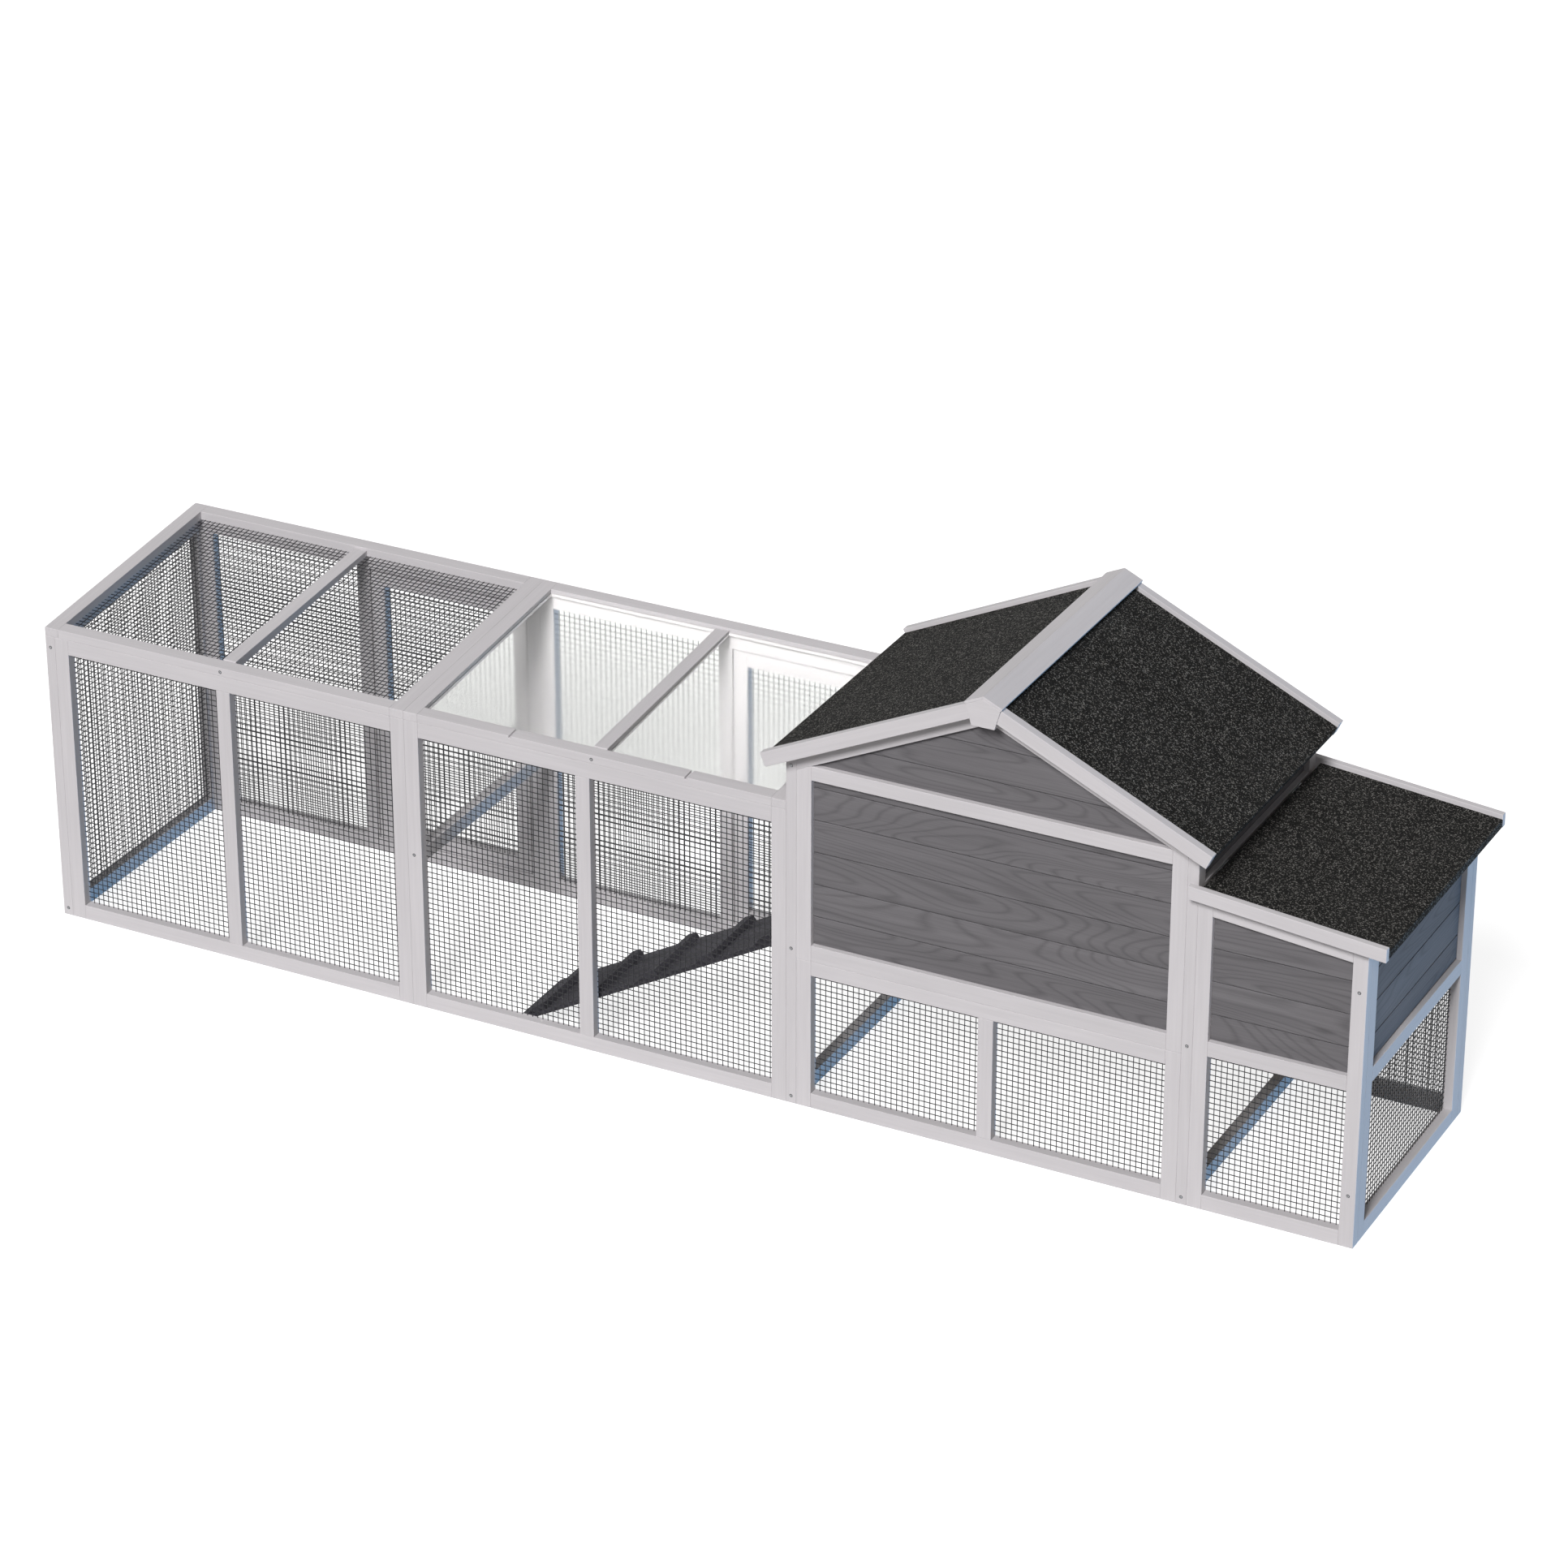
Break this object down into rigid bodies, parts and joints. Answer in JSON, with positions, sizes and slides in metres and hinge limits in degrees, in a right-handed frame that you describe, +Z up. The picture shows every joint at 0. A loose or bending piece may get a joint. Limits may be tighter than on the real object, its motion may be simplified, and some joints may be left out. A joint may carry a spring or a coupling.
{
  "type": "chicken coop with run",
  "caption": "Long wooden chicken coop: gabled house and nest box on the right, two wire mesh runs on the left, ramp, far-side doors and lifting nest lid.",
  "frame": {"origin": "on the ground under the middle of the whole coop", "axes": "+X from the run to the nest box, +Y from the front to the far side with the doors, +Z up"},
  "size_m": [3.144, 0.6874, 1.0666],
  "materials": {
    "white_paint": "white painted timber",
    "grey_paint": "grey stained boards with grain",
    "dark_board": "dark grey painted board",
    "roof_felt": "mineral roofing felt",
    "black_wire": "black welded wire",
    "zinc": "zinc plated",
    "clear_sheet": "translucent ribbed polycarbonate",
    "bare_wood": "bare fir"
  },
  "bodies": {
    "coop": {"apex_plates": "white_paint", "bargeboards": "white_paint", "fixed_fittings": "zinc", "hinge_pins": "zinc", "house_back_lower_frame": "white_paint", "house_back_siding": "grey_paint", "house_back_upper_frame": "white_paint", "house_floor": "bare_wood", "house_front_lower_frame": "white_paint", "house_front_siding": "grey_paint", "house_front_upper_frame": "white_paint", "house_mesh": "black_wire", "left_end_frame": "white_paint", "left_wall_frame": "white_paint", "left_wall_siding": "grey_paint", "nest_back_frame": "white_paint", "nest_front_frame": "white_paint", "nest_inside": "bare_wood", "nest_mesh": "black_wire", "nest_side_frame": "white_paint", "nest_siding": "grey_paint", "perch": "bare_wood", "pop_door_runners": "white_paint", "ridge_cap": "white_paint", "right_wall_frame": "white_paint", "right_wall_siding": "grey_paint", "roof_decks": "bare_wood", "roof_felts": "roof_felt", "run_1_back_frame": "white_paint", "run_1_front_frame": "white_paint", "run_1_mesh": "black_wire", "run_1_roof_frame": "white_paint", "run_2_back_frame": "white_paint", "run_2_front_frame": "white_paint", "run_2_mesh": "black_wire", "run_2_roof_frame": "white_paint", "run_2_roof_sheets": "clear_sheet", "screws": "zinc", "tie_rail": "white_paint"},
    "run_1_door": {"run_1_door_frame": "white_paint", "run_1_door_mesh": "black_wire", "run_1_door_fittings": "zinc"},
    "run_1_bolt_bar": {"run_1_bolt": "zinc"},
    "run_2_door": {"run_2_door_frame": "white_paint", "run_2_door_mesh": "black_wire", "run_2_door_fittings": "zinc"},
    "run_2_bolt_bar": {"run_2_bolt": "zinc"},
    "house_door": {"house_door_frame": "white_paint", "house_door_siding": "grey_paint", "house_door_fittings": "zinc"},
    "house_bolt_bar": {"house_bolt": "zinc"},
    "nest_lid": {"lid_deck": "bare_wood", "lid_felt": "roof_felt", "lid_boards": "white_paint", "lid_hinges": "zinc"},
    "ramp": {"ramp_board": "dark_board", "ramp_cleats": "dark_board", "ramp_hinge": "zinc"},
    "pop_door_panel": {"pop_door": "dark_board"}
  },
  "joints": [
    {"name": "run_1_door_hinge", "type": "hinge", "parent": "coop", "child": "run_1_door", "pos_m": [-1.09755, 0.3085, 0], "axis": [0, 0, 1], "range_deg": [0, 110]},
    {"name": "run_1_bolt_slide", "type": "slide", "parent": "run_1_door", "child": "run_1_bolt_bar", "axis": [1, 0, 0], "range_m": [0, 0.018]},
    {"name": "run_2_door_hinge", "type": "hinge", "parent": "coop", "child": "run_2_door", "pos_m": [-0.18145, 0.3085, 0], "axis": [0, 0, 1], "range_deg": [0, 110]},
    {"name": "run_2_bolt_slide", "type": "slide", "parent": "run_2_door", "child": "run_2_bolt_bar", "axis": [1, 0, 0], "range_m": [0, 0.018]},
    {"name": "house_door_hinge", "type": "hinge", "parent": "coop", "child": "house_door", "pos_m": [0.30805, 0.3085, 0], "axis": [0, 0, 1], "range_deg": [0, 110]},
    {"name": "house_bolt_slide", "type": "slide", "parent": "house_door", "child": "house_bolt_bar", "axis": [1, 0, 0], "range_m": [0, 0.018]},
    {"name": "nest_lid_hinge", "type": "hinge", "parent": "coop", "child": "nest_lid", "pos_m": [1.168, 0, 0.72713], "axis": [0, -1, 0], "range_deg": [0, 50]},
    {"name": "ramp_hinge_turn", "type": "hinge", "parent": "coop", "child": "ramp", "pos_m": [0.245, -0.1717, 0.3912], "axis": [0, 1, 0], "range_deg": [0, 50]},
    {"name": "pop_door_slide", "type": "slide", "parent": "coop", "child": "pop_door_panel", "axis": [0, -1, 0], "range_m": [0, 0.198]}
  ]
}
